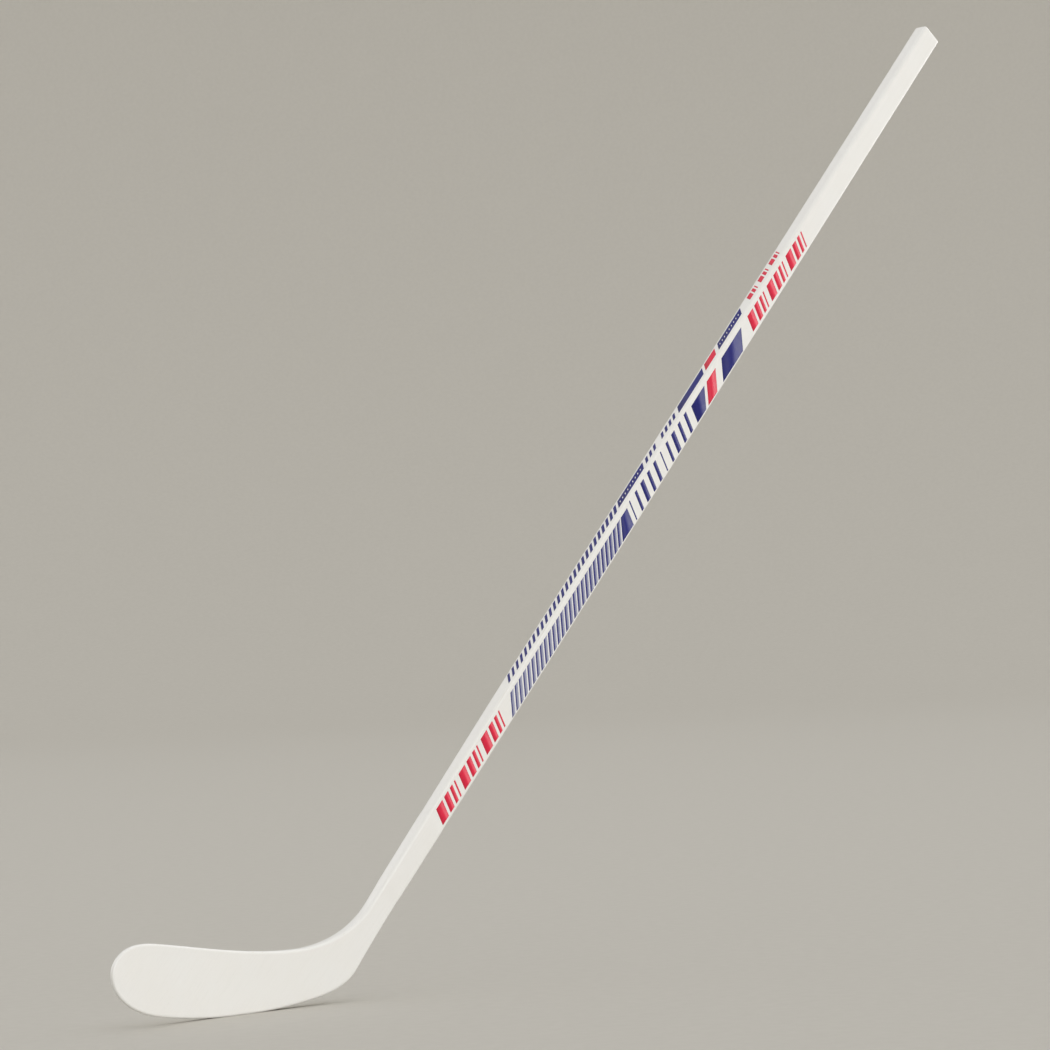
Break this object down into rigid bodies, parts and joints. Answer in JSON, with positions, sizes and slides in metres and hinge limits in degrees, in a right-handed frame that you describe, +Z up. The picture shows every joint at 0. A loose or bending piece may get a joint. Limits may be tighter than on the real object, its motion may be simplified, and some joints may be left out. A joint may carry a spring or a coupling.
{
  "type": "ice hockey stick",
  "caption": "Ice hockey stick with a laminated wood shaft and a curved plastic blade, painted white and printed, held in its playing pose.",
  "frame": {"origin": "the point of the sole that touches the ice, at the middle of the shaft's thickness", "axes": "+Z up from the ice, -X along the blade to the toe, +X the way the shaft rises, -Y out of the forehand face"},
  "size_m": [1.3109, 0.0255, 1.1512],
  "materials": {
    "painted_fibreglass": "satin white lacquer over fibreglass",
    "blade_plastic": "moulded ABS, painted white",
    "birch": "planed birch ply",
    "aspen": "planed aspen ply"
  },
  "bodies": {
    "root": {"front_fibreglass": "painted_fibreglass", "front_birch_ply": "birch", "core_ply_1": "aspen", "core_ply_2": "aspen", "core_ply_3": "aspen", "core_ply_4": "aspen", "core_ply_5": "aspen", "core_ply_6": "aspen", "core_ply_7": "aspen", "rear_birch_ply": "birch", "rear_fibreglass": "painted_fibreglass", "blade_core": "blade_plastic", "blade_front_skin": "painted_fibreglass", "blade_rear_skin": "painted_fibreglass", "hosel_wrap": "painted_fibreglass"}
  },
  "joints": []
}
